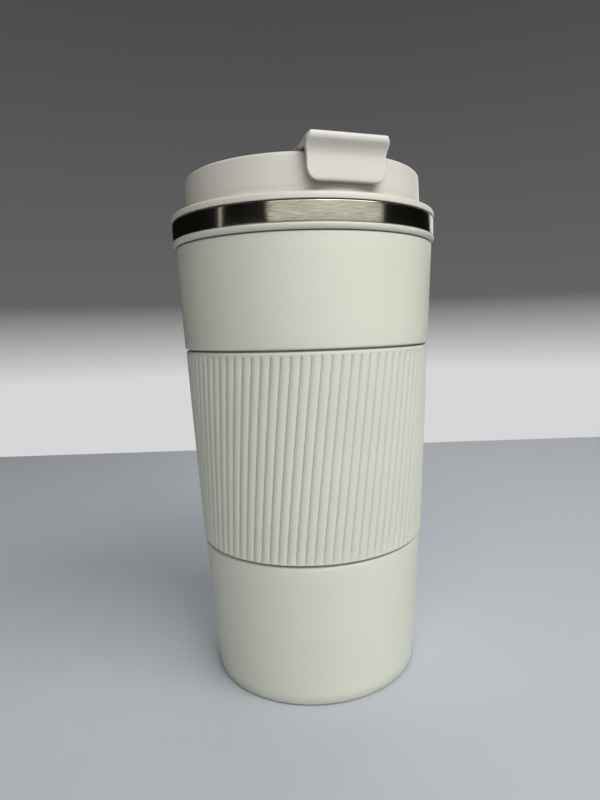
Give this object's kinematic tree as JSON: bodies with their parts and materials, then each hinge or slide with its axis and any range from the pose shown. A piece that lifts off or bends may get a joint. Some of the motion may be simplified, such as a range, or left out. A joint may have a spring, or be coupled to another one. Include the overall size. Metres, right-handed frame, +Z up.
{
  "type": "insulated travel mug",
  "caption": "Tapered double-wall steel travel mug with a ribbed grip sleeve, a screw lid with a steel band, and a flip cover over its drinking hole.",
  "frame": {"origin": "centre of the base, on the surface that the mug stands on", "axes": "+Z up the mug's axis; -Y towards the flip cover's thumb tab; +X to the right of a person facing the tab"},
  "size_m": [0.0866, 0.0866, 0.1678],
  "materials": {
    "painted_shell": "matte powder coat",
    "sleeve_silicone": "soft matte",
    "lid_plastic": "satin moulded",
    "trim_steel": "brushed round the band",
    "liner_steel": "spun",
    "hidden_steel": "plain rolled",
    "seal_silicone": "milky translucent",
    "foot_silicone": "matte",
    "solder": "fused bead",
    "getter_metal": "sintered"
  },
  "bodies": {
    "cup": {"outer_shell": "painted_shell", "inner_liner": "liner_steel", "shell_bottom": "hidden_steel", "vacuum_seal": "solder", "getter": "getter_metal", "base_cover": "liner_steel", "foot_pad": "foot_silicone", "grip_sleeve": "sleeve_silicone"},
    "seal": {"lid_gasket": "seal_silicone"},
    "lid": {"lid_cover": "lid_plastic", "trim_ring": "trim_steel", "lid_base": "lid_plastic", "lid_core": "lid_plastic", "hinge_pin": "hidden_steel"},
    "flip": {"flip_cover": "lid_plastic", "spout_stopper": "seal_silicone", "vent_stopper": "seal_silicone"}
  },
  "joints": [
    {"name": "lid_lift", "type": "slide", "parent": "cup", "child": "seal", "axis": [0, 0, 1], "range_m": [0, 0.0242]},
    {"name": "lid_turn", "type": "hinge", "parent": "seal", "child": "lid", "pos_m": [0, 0, 0.1482], "axis": [0, 0, 1], "range_deg": [0, 1080]},
    {"name": "flip_hinge", "type": "hinge", "parent": "lid", "child": "flip", "pos_m": [0, -0.006, 0.1642], "axis": [-1, 0, 0], "range_deg": [0, 172]}
  ],
  "couplings": [
    {"joint": "lid_lift", "follows": "lid_turn", "m_per_rad": 0.0012732}
  ]
}
